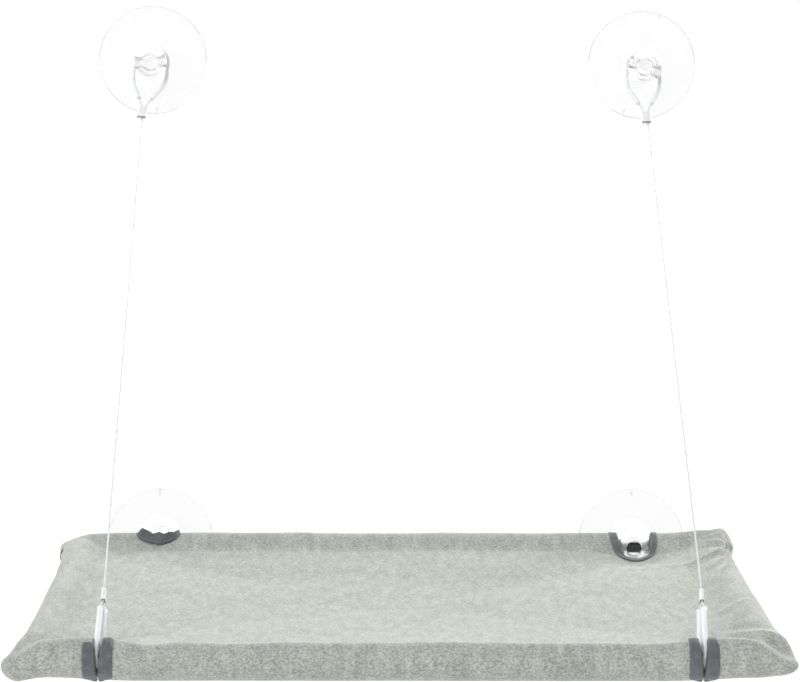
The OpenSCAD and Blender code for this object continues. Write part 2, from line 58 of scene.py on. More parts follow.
ahead = Vector((math.sin(camera_yaw) * math.cos(camera_pitch),
                math.cos(camera_yaw) * math.cos(camera_pitch), -math.sin(camera_pitch)))
level = Vector((math.cos(camera_yaw), -math.sin(camera_yaw), 0))
upward = level.cross(ahead)
across = math.cos(camera_roll) * level + math.sin(camera_roll) * upward
upward = math.cos(camera_roll) * upward - math.sin(camera_roll) * level
lens = bpy.data.cameras.new("room_camera")
lens.sensor_width = 36
lens.lens = lens.sensor_width * focal_length / frame_width
camera = bpy.data.objects.new("room_camera", lens)
camera.matrix_world = Matrix.Translation(camera_place) @ Matrix(
    (across, upward, -ahead)).transposed().to_4x4()
bpy.context.scene.collection.objects.link(camera)
bpy.context.scene.camera = camera


# --- Frame ----------------------------------------------------------------------------------
# Two bent halves of 8 mm steel tube with a black powder coat, one behind and one in front,
# joined in the side rails by bare steel spigots that were turned from bar.
def linear(code):
    """An sRGB hex colour as linear values."""
    parts = [int(code[k:k + 2], 16) / 255 for k in (1, 3, 5)]
    return [c / 12.92 if c <= 0.04045 else ((c + 0.055) / 1.055) ** 2.4 for c in parts] + [1.0]


def material(name):
    """A new material, its node tree and its shader."""
    made = bpy.data.materials.new(name)
    made.use_nodes = True
    return made, made.node_tree, made.node_tree.nodes["Principled BSDF"]


def join(node, inputs):
    """Joins or sets a node's own sockets, given as (socket, value) pairs."""
    for socket, value in inputs:
        if isinstance(value, bpy.types.NodeSocket):
            node.id_data.links.new(value, node.inputs[socket])
        else:
            node.inputs[socket].default_value = value
    return node


def add(tree, kind, inputs=(), **settings):
    """Adds a node with its settings, and joins or sets its inputs."""
    made = tree.nodes.new(kind)
    for name, value in settings.items():
        setattr(made, name, value)
    return join(made, inputs)


# Powder coat: satin black with the fine orange peel of baked powder, about 1 mm from lump to lump
powder_coat, tree, shader = material("black powder coat")
place = add(tree, "ShaderNodeTexCoord").outputs["Object"]
peel = add(tree, "ShaderNodeTexNoise", [("Vector", place), ("Scale", 1 / (1.0 * MM)), ("Detail", 2)])
shade = add(tree, "ShaderNodeTexNoise", [("Vector", place), ("Scale", 1 / (30 * MM)), ("Detail", 3)])
coat_colour = add(tree, "ShaderNodeMix", [("Factor", shade.outputs["Fac"]), (6, linear("#1d201e")),
                                         (7, linear("#2c302b"))], data_type="RGBA")
bump = add(tree, "ShaderNodeBump", [("Strength", 0.25), ("Distance", 0.05 * MM),
                                    ("Height", peel.outputs["Fac"])])
join(shader, [("Base Color", coat_colour.outputs[2]), ("Normal", bump.outputs["Normal"]),
              ("Roughness", 0.38), ("IOR", 1.5)])

# Turned mild steel: fine rings from the lathe, 0.4 mm apart, along the rod
turned_steel, tree, shader = material("turned mild steel")
place = add(tree, "ShaderNodeTexCoord").outputs["Object"]
rings = add(tree, "ShaderNodeTexWave", [("Vector", place), ("Scale", 1 / (0.4 * MM) / 20),
                                        ("Distortion", 0.4)], bands_direction="Y")
bump = add(tree, "ShaderNodeBump", [("Strength", 0.3), ("Distance", 0.03 * MM),
                                    ("Height", rings.outputs["Fac"])])
join(shader, [("Base Color", linear("#b7babb")), ("Normal", bump.outputs["Normal"]), ("Metallic", 1.0),
              ("Roughness", 0.34)])

# The tubes and spigots are the CAD's own solids, with these finishes
for node, made in (("rear_frame_tube", powder_coat), ("front_frame_tube", powder_coat),
                   ("left_frame_spigot", turned_steel), ("right_frame_spigot", turned_steel)):
    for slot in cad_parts[node].material_slots:
        slot.material = made


# --- Suction cups ---------------------------------------------------------------------------
# Four clear soft PVC cups, injection moulded in one piece: a thin lip, a domed skirt, a hub, a
# necked groove and a mushroom head with a cross bore and a round pocket that breaks into it.
cup_r, rim_t, hollow_h = 40, 1.1, 1.2
hub_r, hub_h, neck_r, groove_w = 12.5, 12.4, 9, 4.6
head_r, head_len, bore_h, bore_r = 12.2, 15.4, 25, 4.1
hub_round, neck_round, back_round, face_round = 1, 0.9, 0.8, 3
# The pocket in the head's face: its radius at the mouth and at its floor, and the floor's height
pocket_r, pocket_in, pocket_floor, pocket_round = 6.6, 4.4, 25.7, 1.1
rib_w, rib_len, rib_h, rib_round = 1.7, 5.4, 1.65, 0.35
# The lip's outermost ring, and the stretch over which the head turns milky
edge_in, edge_h, milk_from, milk_to = 39.25, 1.32, 14, 18
# Each cup's x and height on the pane, and how far it is turned
cup_places = {"upper_left": (-181.2, 363.0, 4), "upper_right": (181.2, 360.4, -20),
              "lower_left": (-178.5, 0.0, 0), "lower_right": (178.5, 0.0, 0)}

# Soft clear PVC: a clean gloss, faint flow marks 9 mm apart, and a milky tinge in the thick head
clear_pvc, tree, shader = material("clear soft PVC, moulded")
place = add(tree, "ShaderNodeTexCoord").outputs["Object"]
flow = add(tree, "ShaderNodeTexNoise", [("Vector", place), ("Scale", 1 / (9 * MM)), ("Detail", 1)])
bump = add(tree, "ShaderNodeBump", [("Strength", 0.2), ("Distance", 0.12 * MM),
                                    ("Height", flow.outputs["Fac"])])
join(shader, [("Base Color", linear("#fbfbfb")), ("Normal", bump.outputs["Normal"]), ("IOR", 1.5)])
depth = add(tree, "ShaderNodeSeparateXYZ", [("Vector", place)]).outputs[1]
for socket, in_skirt, in_head in (("Transmission Weight", 0.93, 0.74), ("Roughness", 0.04, 0.09)):
    milk = add(tree, "ShaderNodeMapRange", [("Value", depth), ("From Min", -milk_from * MM),
                                            ("From Max", -milk_to * MM), ("To Min", in_skirt),
                                            ("To Max", in_head)])
    join(shader, [(socket, milk.outputs[0])])

# The lip's edge is painted greyer, a painted shade for the thin grey ring that the bead shows, with flow
# marks 4 mm apart
clear_lip_edge_shaded, tree, shader = material("clear soft PVC, lip edge painted grey")
place = add(tree, "ShaderNodeTexCoord").outputs["Object"]
flow = add(tree, "ShaderNodeTexNoise", [("Vector", place), ("Scale", 1 / (4 * MM)), ("Detail", 1)])
ring = add(tree, "ShaderNodeMix", [("Factor", flow.outputs["Fac"]), (6, linear("#d2d5d5")),
                                   (7, linear("#f0f2f2"))], data_type="RGBA")
join(shader, [("Base Color", ring.outputs[2]), ("Roughness", 0.06), ("IOR", 1.5),
              ("Transmission Weight", 0.88)])


def piece_of(name, bm, made, body, slot, *nodes):
    """A finished piece from a bmesh: shaded smooth, riding on its body, in place of its nodes."""
    bmesh.ops.recalc_face_normals(bm, faces=bm.faces)
    mesh = bpy.data.meshes.new(name)
    bm.to_mesh(mesh)
    bm.free()
    mesh.shade_smooth()
    mesh.materials.append(made)
    piece = bpy.data.objects.new(name, mesh)
    bpy.context.scene.collection.objects.link(piece)
    if body:
        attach(piece, body)
    if nodes:
        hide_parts(*nodes)
    return piece


def cut(bm, cutters):
    """Takes the cutters, bmeshes too, out of a closed bmesh."""
    held = []
    for k, solid in enumerate([bm, *cutters]):
        bmesh.ops.recalc_face_normals(solid, faces=solid.faces)
        mesh = bpy.data.meshes.new(f"cut_{k}")
        solid.to_mesh(mesh)
        held.append(bpy.data.objects.new(f"cut_{k}", mesh))
        bpy.context.scene.collection.objects.link(held[-1])
    for tool in held[1:]:
        taken = held[0].modifiers.new(tool.name, "BOOLEAN")
        taken.object, taken.operation, taken.solver = tool, "DIFFERENCE", "EXACT"
    bpy.context.view_layer.update()
    whole = held[0].evaluated_get(bpy.context.evaluated_depsgraph_get()).to_mesh()
    made = bmesh.new()
    made.from_mesh(whole)
    for piece in held:
        mesh = piece.data
        bpy.data.objects.remove(piece)
        bpy.data.meshes.remove(mesh)
    return made


def arc(cx, cy, r, start, end, steps):
    """Points on an arc, angles in degrees."""
    return [(cx + r * math.cos(math.radians(start + (end - start) * k / steps)),
             cy + r * math.sin(math.radians(start + (end - start) * k / steps))) for k in range(steps + 1)]


def rod(r, length, start, along, sides=64):
    """A closed round bar, from start along a direction."""
    bm = bmesh.new()
    bmesh.ops.create_cone(bm, cap_ends=True, segments=sides, radius1=r, radius2=r, depth=length)
    turn = Vector((0, 0, 1)).rotation_difference(Vector(along)).to_matrix().to_4x4()
    bmesh.ops.transform(bm, verts=bm.verts,
                        matrix=Matrix.Translation(Vector(start) + Vector(along) * length / 2) @ turn)
    return bm


def cup_section():
    """Half section of the cup from the middle of its hollow out to the rim and in over the head."""
    head_back, head_face = hub_h + groove_w, hub_h + groove_w + head_len
    hollow = [(0.0, hollow_h), (10, 1.16), (20, 0.94), (27, 0.5), (32.5, 0.03), (33, 0), (33.5, 0)]
    lip = [(39.2, 0), (39.6, 0.02)]
    bead = [(39.85, 0.2), (cup_r, 0.6), (39.9, 0.98), (39.6, 1.25), (39.2, 1.3), (38.8, 1.24),
            (38.4, rim_t + 0.02)]
    skirt = [(38, rim_t), (33, 1.55), (26, 2.15), (20.5, 2.95), (17, 3.9), (14.6, 5.2), (13.1, 7.0)]
    hub = [(hub_r, 9.0)] + arc(hub_r - hub_round, hub_h - hub_round, hub_round, 0, 90, 5)
    neck = (arc(neck_r + neck_round, hub_h + neck_round, neck_round, 270, 180, 4)
            + arc(neck_r + neck_round, head_back - neck_round, neck_round, 180, 90, 4))
    head = (arc(head_r - back_round, head_back + back_round, back_round, 270, 360, 4)
            + arc(head_r - face_round, head_face - face_round, face_round, 0, 90, 10))
    return hollow + lip + bead + skirt + hub + neck + head + [(0.0, head_face)]


def turned(section, steps):
    """A solid of revolution about Z, from a half section given as radius and height."""
    bm = bmesh.new()
    verts = [bm.verts.new((r * MM, 0, h * MM)) for r, h in section]
    edges = [bm.edges.new(pair) for pair in zip(verts, verts[1:])]
    bmesh.ops.spin(bm, geom=verts + edges, cent=(0, 0, 0), axis=(0, 0, 1), angle=2 * math.pi,
                   steps=steps, use_merge=True)
    bmesh.ops.remove_doubles(bm, verts=bm.verts, dist=0.002 * MM)
    return bm


def cup(x, z, turn):
    """One cup, its lip on the window plane and its head towards the room."""
    pocket = turned([(0, pocket_floor), (pocket_in, pocket_floor)]
                    + arc(pocket_in, pocket_floor + pocket_round, pocket_round, 270, 360, 6)
                    + [(5.6, 30.4), (5.9, 31.5), (pocket_r, 32.5), (pocket_r, 34), (0, 34)], 96)
    bore = rod(bore_r * MM, cup_r * MM, (-cup_r / 2 * MM, 0, bore_h * MM), (1, 0, 0), 72)
    bm = cut(turned(cup_section(), 128), [bore, pocket])
    for side in (0, math.pi):
        rib = bmesh.ops.create_cube(bm, size=1.0)["verts"]
        bmesh.ops.scale(bm, vec=Vector((rib_w, rib_len, rib_h)) * MM, verts=rib)
        edges = list({e for v in rib for e in v.link_edges})
        rounded = bmesh.ops.bevel(bm, geom=edges, offset=rib_round * MM, segments=3, profile=0.5,
                                  affect="EDGES", material=-1)["verts"]
        rib = list({v for v in rounded if v.is_valid})
        bmesh.ops.translate(bm, verts=rib, vec=(0, (cup_r - rib_len / 2) * MM, (rim_t / 2 + rib_h / 2) * MM))
        bmesh.ops.rotate(bm, verts=rib, cent=(0, 0, 0), matrix=Matrix.Rotation(side, 3, "Z"))
    for face in bm.faces:
        spot = face.calc_center_median() / MM
        face.material_index = int(math.hypot(spot.x, spot.y) > edge_in and spot.z < edge_h)
    lay = (Matrix.Translation((x * MM, 0, z * MM)) @ Matrix.Rotation(math.pi / 2, 4, "X")
           @ Matrix.Rotation(math.radians(turn), 4, "Z"))
    bmesh.ops.transform(bm, matrix=lay, verts=bm.verts)
    return bm


for corner, (x, z, turn) in cup_places.items():
    made = piece_of(f"{corner}_cup_moulding", cup(x, z, turn), clear_pvc, "window_side", "cup_vinyl",
                    f"{corner}_suction_cup")
    made.data.materials.append(clear_lip_edge_shaded)
    made.data.set_sharp_from_angle(angle=math.radians(40))


# --- Bed cover ------------------------------------------------------------------------------
# A sewn case of grey heathered wool felt over a foam pad. It is fullest at its corners, its
# sides pull in between them, the seat sags, and the cloth gathers at the right rear corner.
side_reach, front_edge, back_edge, corner_r = 254.5, -372.0, -13.0, 14.0
mid_y, half_d = (front_edge + back_edge) / 2, (back_edge - front_edge) / 2
roll_r, fall_w, seat_z, seat_sag, under_z = 12.0, 30.0, 2.5, 6.0, 9.5
front_tube_y, hinge_y = -360.0, -25.0
# Steps round a corner, and along the back, the left side, the front and the right side. The right
# side's points crowd towards the gathers at its rear end.
corner_steps, side_steps, corner_keep = 18, (116, 60, 104, 136), 6


def formed(rows, columns, place, wrap=False):
    """A grid whose points are put where place(row share, column share) says, with those shares as
    its UV map. wrap joins its first and last column."""
    bm = bmesh.new()
    uv = bm.loops.layers.uv.new("UVMap")
    bmesh.ops.create_grid(bm, x_segments=columns, y_segments=rows, size=1)
    for face in bm.faces:
        for loop in face.loops:
            loop[uv].uv = ((loop.vert.co.x + 1) / 2, (loop.vert.co.y + 1) / 2)
    for v in bm.verts:
        v.co = Vector(place((v.co.y + 1) / 2, (v.co.x + 1) / 2)) * MM
    if wrap:
        bmesh.ops.remove_doubles(bm, verts=bm.verts, dist=0.001 * MM)
    return bm


def smooth(t):
    """0 below 0, 1 above 1, and an even ease between them."""
    t = max(0.0, min(1.0, t))
    return t * t * (3 - 2 * t)


def outline_rows():
    """Points of the case's outline, walked anticlockwise from the right: x, y, outward x and y,
    and the way that its corner lies."""
    rows, signs = [], ((1, 1), (-1, 1), (-1, -1), (1, -1))
    for k, (sx, sy) in enumerate(signs):
        turn = 90 * k
        for i in range(corner_steps + 1):
            a = math.radians(turn + 90 * i / corner_steps)
            rows.append([sx * (side_reach - corner_r) + corner_r * math.cos(a),
                         mid_y + sy * (half_d - corner_r) + corner_r * math.sin(a),
                         math.cos(a), math.sin(a), sx, sy])
        nx, ny = signs[(k + 1) % 4]
        a = math.radians(turn + 90)
        end = [nx * (side_reach - corner_r) + corner_r * math.cos(a),
               mid_y + ny * (half_d - corner_r) + corner_r * math.sin(a), math.cos(a), math.sin(a), nx, ny]
        start, steps = rows[-1], side_steps[k]
        shares = [i / steps for i in range(1, steps)]
        if k == 3:
            shares = [1 - (0.45 * (1 - s) + 0.55 * (1 - s) ** 2.2) for s in shares]
        rows += [[p + (q - p) * s for p, q in zip(start, end)] for s in shares]
    return rows


rows_out = outline_rows()
around = len(rows_out)


def inset(p, d):
    """The point d in from an outline point, with the corners kept from crossing."""
    shift = max(0.0, d - corner_r + corner_keep)
    return p[0] - (d - shift) * p[2] - shift * p[4], p[1] - (d - shift) * p[3] - shift * p[5]


# The gathers, as points in plan, a height and a half width. They fan out of the right rear corner
# over the side roll, and more cross the roll in front of them. None lies left of gathers_from.
gathers_from = 180
gathers = [
    ([(247, -47), (241, -38.5), (235, -37.5), (228, -39.5), (219, -45)], 2.3, 2.6),
    ([(246, -54), (241, -48.5), (239, -41)], 1.5, 1.8),
    ([(247, -58), (239, -59.5), (234, -56), (228, -47.5), (222, -36)], 2.8, 2.6),
    ([(245, -66), (236, -74), (226, -78)], 1.0, 2.4),
    ([(249, -78), (243, -83), (236.5, -90), (231, -95), (224, -98), (212, -97), (194, -93)], 4.0, 3.4),
    ([(248, -99), (243.5, -103), (238, -110), (231, -125.5), (222, -131)], 3.3, 3.4),
    ([(246, -124), (239, -135), (233.5, -146), (226, -162), (216, -170)], 2.7, 4.4),
    ([(248, -66), (240, -69), (230, -66), (216, -62)], -1.8, 3.2),
    ([(248, -88), (241, -96), (230, -108), (216, -112)], -1.6, 4.0),
    ([(247, -110), (240, -122), (230, -138), (222, -146)], -1.6, 4.6),
    ([(236, -246), (214, -252), (196, -254)], 1.2, 5.5),
    ([(240, -342), (228, -328), (216, -308), (204, -300)], 2.6, 4.6),
    ([(240, -322), (226, -306), (212, -290)], -1.6, 6.2),
]


def gather_height(x, y):
    """What the gathers add to the cloth's height."""
    total = 0.0
    if x < gathers_from:
        return total
    for points, height, width in gathers:
        best, where, gone = 1e9, 0.0, 0.0
        spans = [math.dist(a, b) for a, b in zip(points, points[1:])]
        for (ax, ay), (bx, by), span in zip(points, points[1:], spans):
            t = max(0.0, min(1.0, ((x - ax) * (bx - ax) + (y - ay) * (by - ay)) / span ** 2))
            d = math.hypot(x - ax - t * (bx - ax), y - ay - t * (by - ay))
            if d < best:
                best, where = d, (gone + t * span) / sum(spans)
            gone += span
        reach = best / (width * (0.8 + 0.7 * where))
        total += height * (1 - smooth(where * 1.15 - 0.25)) * math.exp(-reach ** 1.2)
    return total


def bump_at(x, y, cx, cy, wx, wy):
    """A soft round swelling of height 1."""
    return math.exp(-((x - cx) / wx) ** 2 - ((y - cy) / wy) ** 2)


# Where each side's edge really runs: y from back to front, and how far out it lies
side_edges = {-1: ([-372, -364, -356, -342, -317, -295, -270, -240, -216, -190, -165, -139, -113, -91,
                    -45, -30, -20, -13],
                   [257.8, 258.2, 255.7, 249.2, 246.7, 246.6, 245.9, 245.2, 245, 244.9, 244.8, 244.8,
                    244.9, 245.3, 249, 252.6, 250.6, 247.8]),
              1: ([-372, -362, -351, -330, -303, -285, -255, -228, -190, -147, -120, -90, -60, -45,
                   -30, -13],
                  [257.2, 256.8, 255.5, 252.2, 249.2, 249.3, 249, 248.5, 247.2, 247, 246.4, 246.8, 247.6,
                   249.2, 253.8, 251.8])}


# How high the front crest stands, and where it swells or dips: height, x and half width. The
# first swelling is at both ends.
front_crest, crest_both, crest_waves = 10.5, (2.9, 208, 26), ((-1.5, -163, 12), (-0.9, 162, 14))
# Swellings and hollows of the upper side: height, x, y and half widths
swells = ((2.4, 231, -24, 17, 13), (4.4, 246, -28, 8, 12), (-2.2, 238, -92, 16, 38),
          (-1.4, -234, -20, 14, 20))
# The dip round the right cup's head: depth, x, half width, and where it starts and begins to end
head_dip, dip_x, dip_half, dip_back, dip_front = 5.0, 177, 21, -40, -66


def settle(x, y, z, upper):
    """How the stuffed case has settled: its waving sides, its crests, its pinched corners, the dip
    where the right cup's head sits, and the slight waves of a seat that has been used."""
    side = -1 if x < 0 else 1
    reach = sum(np.interp(y + k, *side_edges[side]) for k in (-6, 0, 6)) / 3
    x *= 1 + (reach / side_reach - 1) * smooth((abs(x) - 180) / 66)
    front, back = smooth((-y - 335) / 18), smooth((y + 62) / 24)
    if z > 0:
        rise, at, half = crest_both
        crest = front_crest + rise * bump_at(abs(x), 0, at, 0, half, 1)
        for rise, at, half in crest_waves:
            crest += rise * bump_at(x, 0, at, 0, half, 1)
        crest += 0.5 * noise.noise(Vector((x / 46, 2.2, 0.5)))
        z *= 1 + front * (crest / roll_r - 1) - 0.11 * back
    else:
        z *= 1 + 0.19 * front * (1 - smooth((abs(x) - 170) / 60))
    out = smooth((abs(x) - 228) / 22)
    lobe, heel = out * smooth((-y - 338) / 20), out * smooth((y + 80) / 40)
    pinch = (0.34 if z > 0 else 0.1) if side < 0 else 0.48
    z = z * (1 - pinch * lobe) - (4.1 if side < 0 else 3.8) * lobe
    if z > 0:
        z *= 1 - (0.5 if side < 0 else 0.04) * heel
    z += upper * sum(height * bump_at(x, y, *where) for height, *where in swells)
    z -= (upper * head_dip * bump_at(x, 0, dip_x, 0, dip_half, 1) * smooth((dip_back - y) / 13)
          * (1 - smooth((dip_front - y) / 34)))
    z += upper * gather_height(x, y)
    z += upper * (0.9 * noise.noise(Vector((x / 78, y / 60, 3.1)))
                  + 0.35 * noise.noise(Vector((x / 27, y / 25, 9.4))))
    return x, y, z


# Where the seat, the fall, the roll and the edge below end, as shares of the way over the case
seat_row, crest_row, under_row, flat_row = 0.34, 0.5, 0.66, 0.74


def cover_place(row, column):
    """A point of the case: rows run from the seat's middle over the roll to the middle below."""
    p = rows_out[round(column * around) % around]
    r = roll_r
    if row < seat_row:
        share = row / seat_row
        x, y = inset(p, r + fall_w)
        x, y = x * share, mid_y + (y - mid_y) * share
        z = seat_z - seat_sag * (1 - share ** 2)
    elif row < crest_row:
        share = 1 - (row - seat_row) / (crest_row - seat_row)
        x, y = inset(p, r + share * fall_w)
        z = r + (seat_z - r) * smooth(share)
    elif row < under_row:
        a = math.radians(90 - 180 * (row - crest_row) / (under_row - crest_row))
        x, y = inset(p, r * (1 - math.cos(a)))
        z = r * math.sin(a)
    elif row < flat_row:
        share = (row - under_row) / (flat_row - under_row)
        x, y = inset(p, r + share * fall_w)
        z = -r + (r - under_z) * smooth(share)
    else:
        share = 1 - (row - flat_row) / (1 - flat_row)
        x, y = inset(p, r + fall_w)
        x, y = x * share, mid_y + (y - mid_y) * share
        z = -under_z - seat_sag * (1 - share ** 2)
    upper = 1 - smooth((row - crest_row) / 0.1)
    x, y, z = settle(x, y, z, upper)
    lump = 0.5 * noise.noise(Vector((x / 38, y / 38, z / 24)))
    return x + p[2] * lump, y + p[3] * lump, z


cover_mesh = formed(140, around, cover_place, wrap=True)
cover_tree = BVHTree.FromBMesh(cover_mesh)


def top_at(x, y, lowest=False):
    """Height of the case's upper or lower side, in mm, before it is cut."""
    sign = 1 if lowest else -1
    hit = cover_tree.ray_cast(Vector((x * MM, y * MM, -sign * 0.1)), Vector((0, 0, sign)))[0]
    return hit.z / MM if hit else 0.0


def prism(outline_points, start, end, axis):
    """A closed bar with a plan outline: from start to end along Z, or along X for a side view."""
    bm = bmesh.new()
    if axis == "Z":
        verts = [bm.verts.new(Vector((a, b, start)) * MM) for a, b in outline_points]
        run = Vector((0, 0, end - start)) * MM
    else:
        verts = [bm.verts.new(Vector((start, a, b)) * MM) for a, b in outline_points]
        run = Vector((end - start, 0, 0)) * MM
    face = bm.faces.new(verts)
    moved = bmesh.ops.extrude_face_region(bm, geom=[face])["geom"]
    bmesh.ops.translate(bm, verts=[v for v in moved if isinstance(v, bmesh.types.BMVert)], vec=run)
    return bm


cutout_x, cutout_half, slit_x, slit_half, slit_reach = 178.5, 13.8, 194.2, 4.0, 27
# How far each cut-out reaches in front of the hinge, and how much of that is its round end
cutout_reach, round_end = {-1: 15.0, 1: 32.8}, {-1: 12.0, 1: 23.8}


def cutout_outline(side):
    """Plan of a rear cut-out, open at the back."""
    end = [(cutout_half * a, hinge_y - cutout_reach[side] + round_end[side] * (1 + b))
           for a, b in arc(0, 0, 1, 180, 270, 14)[:-1] + arc(0, 0, 1, 270, 360, 14)]
    return [(side * cutout_x + a, b) for a, b in [(-cutout_half, 0.0)] + end + [(cutout_half, 0.0)]]


def sector(start, end, reach):
    """Side view of a wedge round the front tube, with angles from straight up to the front."""
    return [(front_tube_y, 0.0)] + [
        (front_tube_y - reach * math.sin(math.radians(a)), reach * math.cos(math.radians(a)))
        for a in np.linspace(start, end, 18)]


# A slit is narrower on top, where the loop's legs lie close, and wider over the front
cutters = []
for side in (-1, 1):
    cutters.append(prism(cutout_outline(side), -30, 30, "Z"))
    for start, end, half in ((-104, 40, slit_half - 0.5), (34, 142, slit_half + 0.8)):
        cutters.append(prism(sector(start, end, slit_reach), side * (slit_x - half),
                             side * (slit_x + half), "X"))
cover_mesh = cut(cover_mesh, cutters)

# Heathered wool felt: mid-grey, oatmeal and pale fibres carded together, fulled to a soft nap.
# The fibres are 0.03 mm thick, so tufts of about 1.3 mm are drawn, as coarse as they need to show.
wool_felt, tree, shader = material("heathered wool felt")
place = add(tree, "ShaderNodeTexCoord").outputs["Object"]
stretch = add(tree, "ShaderNodeMapping", [("Vector", place), ("Scale", (0.8, 0.9, 1.0))])
tufts = add(tree, "ShaderNodeTexNoise", [("Vector", stretch.outputs[0]), ("Scale", 1 / (1.3 * MM)),
                                        ("Detail", 2), ("Roughness", 0.6)])
flecks = add(tree, "ShaderNodeTexNoise", [("Vector", place), ("Scale", 1 / (1.9 * MM)), ("Detail", 1)])
grain = add(tree, "ShaderNodeMapping", [("Vector", place), ("Scale", (1.5, 0.5, 0.5))])
clouds = add(tree, "ShaderNodeTexNoise", [("Vector", grain.outputs[0]), ("Scale", 1 / (9 * MM)),
                                          ("Detail", 3)])
ramp = add(tree, "ShaderNodeValToRGB", [("Fac", tufts.outputs["Fac"])])
ramp.color_ramp.elements.new(0.5)
for stop, (position, code) in zip(ramp.color_ramp.elements,
                                  ((0.33, "#8f938a"), (0.5, "#a6a9a4"), (0.66, "#b8bbb8"))):
    stop.position, stop.color = position, linear(code)
fleck_mask = add(tree, "ShaderNodeMapRange", [("Value", flecks.outputs["Fac"]), ("From Min", 0.60),
                                              ("From Max", 0.70), ("To Max", 0.5)])
flecked = add(tree, "ShaderNodeMix", [("Factor", fleck_mask.outputs[0]), (6, ramp.outputs["Color"]),
                                      (7, linear("#878775"))], data_type="RGBA")
cloud_mask = add(tree, "ShaderNodeMapRange", [("Value", clouds.outputs["Fac"]), ("From Min", 0.32),
                                              ("From Max", 0.68), ("To Min", 0.87), ("To Max", 1.1)])
clouded = add(tree, "ShaderNodeHueSaturation", [("Value", cloud_mask.outputs[0]),
                                                ("Color", flecked.outputs[2])])
nap = add(tree, "ShaderNodeBump", [("Strength", 0.24), ("Distance", 0.5 * MM),
                                   ("Height", tufts.outputs["Fac"])])
join(shader, [("Base Color", clouded.outputs[0]), ("Normal", nap.outputs["Normal"]), ("Roughness", 0.95),
              ("IOR", 1.45), ("Specular IOR Level", 0.2), ("Sheen Weight", 0.5), ("Sheen Roughness", 0.4),
              ("Sheen Tint", linear("#ecece6"))])

cover = piece_of("sewn_bed_cover", cover_mesh, wool_felt, "bed", "cover_cloth", "bed_cover")
cover.data.set_sharp_from_angle(angle=math.radians(55))


# --- Seat pad -------------------------------------------------------------------------------
# A block of pale upholstery foam inside the case, cut out round the frame tubes, the cups'
# heads and the cable loops. It has settled with the case, so it lies just under the cloth.

# Upholstery foam: cream open cells, about 1.2 mm across, with no gloss
foam, tree, shader = material("cut upholstery foam")
place = add(tree, "ShaderNodeTexCoord").outputs["Object"]
cells = add(tree, "ShaderNodeTexVoronoi", [("Vector", place), ("Scale", 1 / (1.2 * MM))])
foam_colour = add(tree, "ShaderNodeMix", [("Factor", cells.outputs["Distance"]), (6, linear("#d9d4c2")),
                                         (7, linear("#f3efe4"))], data_type="RGBA")
bump = add(tree, "ShaderNodeBump", [("Strength", 0.8), ("Distance", 0.4 * MM),
                                    ("Height", cells.outputs["Distance"])])
join(shader, [("Base Color", foam_colour.outputs[2]), ("Normal", bump.outputs["Normal"]),
              ("Roughness", 0.95)])

# Play between foam and cloth: on top, round the right cup's head, at the sides, and at the sides
# from the cloth below and above
on_top, at_dip, at_sides, from_below, from_above = 1.3, 3.2, 4.5, 1.4, 1.6
# Where the pad's top and its sides begin, and how far the right cup's dip reaches in it
top_from, sides_from, pad_dip_half, pad_dip_front, pad_dip_low = 5, 200, 50, -108, -3
pad_mesh = bmesh.new()
pad_mesh.from_mesh(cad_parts["seat_pad"].data)
bmesh.ops.remove_doubles(pad_mesh, verts=pad_mesh.verts, dist=0.002 * MM)
for v in pad_mesh.verts:
    x, y, z = v.co / MM
    at_head = z > pad_dip_low and pad_dip_front < y < dip_back and abs(x - dip_x) < pad_dip_half
    if z > top_from or at_head:
        v.co.z += (min(0.0, settle(x, y, z, 1)[2] - z) - (on_top if z > top_from else at_dip)) * MM
    if abs(x) > sides_from:
        x = settle(x, y, z, 1)[0] - math.copysign(at_sides * smooth((abs(x) - sides_from) / 46), x)
        low, high = top_at(x, y, lowest=True) + from_below, top_at(x, y) - from_above
        v.co.x, v.co.z = x * MM, max(min(v.co.z, high * MM), low * MM)
pad = piece_of("foam_seat_pad", pad_mesh, foam, "bed", "pad_foam", "seat_pad")
pad.data.set_sharp_from_angle(angle=math.radians(35))


# --- Bindings -------------------------------------------------------------------------------
# Slate grey woven tape, folded in half over the raw edge of each opening and lock-stitched near
# its free edge: a U at each rear cut-out and two lips at each front slit. Its ends are tucked
# into the folds at the rear corners, where the tape is painted near black as the fold's shade.
tape_w, tape_girth, tape_t, tucked_t, tucked_lift = 5.4, 14, 0.9, 0.5, 0.7
stitch_in, stitch_pitch, thread_share, rib_pitch = 1.0, 2.6, 0.025, 0.9


